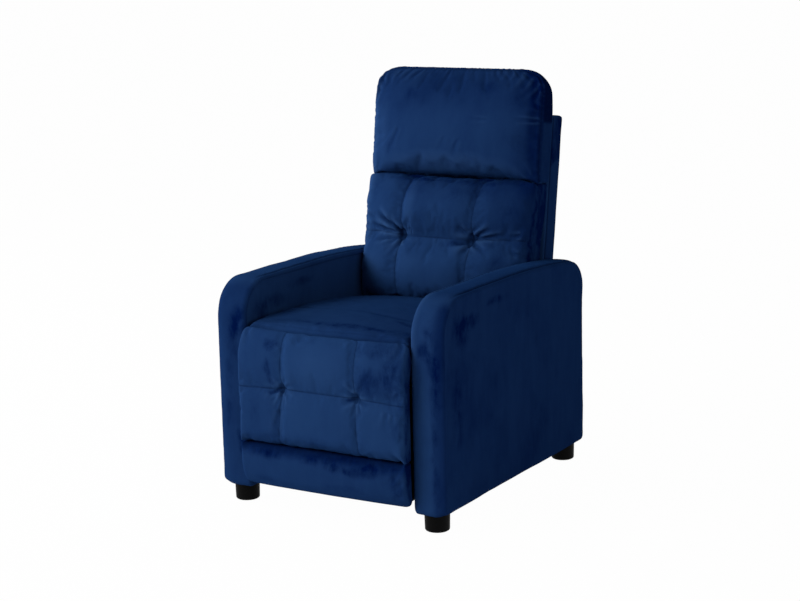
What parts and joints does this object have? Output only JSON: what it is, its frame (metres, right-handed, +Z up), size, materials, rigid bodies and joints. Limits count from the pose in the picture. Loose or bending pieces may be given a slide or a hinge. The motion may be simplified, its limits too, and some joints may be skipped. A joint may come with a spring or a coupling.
{
  "type": "reclining armchair",
  "caption": "Push-back reclining armchair with padded arm boxes, tufted cushions, a reclining back, a seat on swing links and a footrest that folds out.",
  "frame": {"origin": "on the floor under the middle of the chair's overall width and depth, back upright and footrest folded", "axes": "+Z up, the chair faces -Y, +X towards the sitter's left arm"},
  "size_m": [0.65, 0.8696, 1.0541],
  "materials": {
    "blue_velvet": "matte",
    "timber": "matte",
    "black_plastic": "satin",
    "dust_cloth": "matte",
    "webbing": "matte",
    "zinc_steel": "satin",
    "black_steel": "satin"
  },
  "bodies": {
    "base": {"left_arm_cover": "blue_velvet", "right_arm_cover": "blue_velvet", "left_arm_frame": "timber", "right_arm_frame": "timber", "front_rail": "timber", "rear_rail": "timber", "rear_skirt": "blue_velvet", "left_base_plate": "black_steel", "right_base_plate": "black_steel", "feet": "black_plastic", "foot_screws": "zinc_steel", "plate_bolts": "zinc_steel", "rail_bolts": "zinc_steel", "base_rivets": "zinc_steel"},
    "rear_swing_links": {"left_rear_swing": "black_steel", "right_rear_swing": "black_steel"},
    "front_swing_links": {"left_front_swing": "black_steel", "right_front_swing": "black_steel", "cross_tube": "black_steel", "swing_rivets": "zinc_steel"},
    "seat": {"seat_frame": "timber", "seat_springs": "zinc_steel", "spring_clips": "zinc_steel", "left_seat_plate": "black_steel", "right_seat_plate": "black_steel", "seat_cushion": "blue_velvet", "seat_rivets": "zinc_steel", "seat_screws": "zinc_steel"},
    "back": {"back_frame": "timber", "back_shell": "blue_velvet", "back_webbing": "webbing", "lumbar_cushion": "blue_velvet", "head_cushion": "blue_velvet", "left_back_bracket": "black_steel", "right_back_bracket": "black_steel", "back_bolts": "zinc_steel", "back_rivets": "zinc_steel"},
    "long_links": {"left_long_link": "black_steel", "right_long_link": "black_steel", "long_link_rivets": "zinc_steel"},
    "short_links": {"left_short_link": "black_steel", "right_short_link": "black_steel", "short_link_rivets": "zinc_steel"},
    "carrier_links": {"left_carrier_link": "black_steel", "right_carrier_link": "black_steel"},
    "foot_links": {"left_foot_link": "black_steel", "right_foot_link": "black_steel"},
    "footrest": {"footrest_board": "dust_cloth", "footrest_pad": "blue_velvet", "footrest_lip": "blue_velvet", "left_footrest_bracket": "black_steel", "right_footrest_bracket": "black_steel", "footrest_screws": "zinc_steel", "footrest_rivets": "zinc_steel"},
    "drive_rods": {"left_drive_rod": "black_steel", "right_drive_rod": "black_steel"},
    "control_links": {"left_control_link": "black_steel", "right_control_link": "black_steel"}
  },
  "joints": [
    {"name": "seat_swing", "type": "hinge", "parent": "base", "child": "rear_swing_links", "pos_m": [0, 0.09818, 0.175], "axis": [1, 0, 0], "range_deg": [0, 60]},
    {"name": "seat_level", "type": "hinge", "parent": "rear_swing_links", "child": "seat", "pos_m": [0, 0.14818, 0.2616], "axis": [-1, 0, 0], "range_deg": [0, 60.02]},
    {"name": "front_swing", "type": "hinge", "parent": "base", "child": "front_swing_links", "pos_m": [0, -0.08182, 0.175], "axis": [1, 0, 0], "range_deg": [0, 60.02]},
    {"name": "back_recline", "type": "hinge", "parent": "seat", "child": "back", "pos_m": [0, 0.22818, 0.3], "axis": [-1, 0, 0], "range_deg": [0, 36.02]},
    {"name": "long_link_turn", "type": "hinge", "parent": "seat", "child": "long_links", "pos_m": [0, -0.33182, 0.345], "axis": [-1, 0, 0], "range_deg": [0, 84.02]},
    {"name": "short_link_turn", "type": "hinge", "parent": "seat", "child": "short_links", "pos_m": [0, -0.28882, 0.332], "axis": [-1, 0, 0], "range_deg": [0, 84.02]},
    {"name": "carrier_turn", "type": "hinge", "parent": "long_links", "child": "carrier_links", "pos_m": [0, -0.23182, 0.155], "axis": [1, 0, 0], "range_deg": [0, 84.02]},
    {"name": "foot_link_turn", "type": "hinge", "parent": "long_links", "child": "foot_links", "pos_m": [0, -0.23182, 0.085], "axis": [1, 0, 0], "range_deg": [0, 84.02]},
    {"name": "footrest_turn", "type": "hinge", "parent": "carrier_links", "child": "footrest", "pos_m": [0, -0.34782, 0.285], "axis": [-1, 0, 0], "range_deg": [0, 84.02]},
    {"name": "drive_rod_turn", "type": "hinge", "parent": "front_swing_links", "child": "drive_rods", "pos_m": [0, -0.05712, 0.2855], "axis": [-1, 0, 0], "range_deg": [0, 73.58]},
    {"name": "control_link_turn", "type": "hinge", "parent": "back", "child": "control_links", "pos_m": [0, 0.24018, 0.2535], "axis": [1, 0, 0], "range_deg": [0, 76.9]}
  ],
  "couplings": [
    {"joint": "seat_level", "follows": "seat_swing", "ratio": 1},
    {"joint": "front_swing", "follows": "seat_swing", "ratio": 1},
    {"joint": "back_recline", "follows": "seat_swing", "ratio": 0.6},
    {"joint": "long_link_turn", "follows": "seat_swing", "ratio": 1.4},
    {"joint": "short_link_turn", "follows": "seat_swing", "ratio": 1.4},
    {"joint": "carrier_turn", "follows": "seat_swing", "ratio": 1.4},
    {"joint": "foot_link_turn", "follows": "seat_swing", "ratio": 1.4},
    {"joint": "footrest_turn", "follows": "seat_swing", "ratio": 1.4},
    {"joint": "drive_rod_turn", "follows": "seat_swing", "ratio": 1.226},
    {"joint": "control_link_turn", "follows": "seat_swing", "ratio": 1.2813}
  ]
}
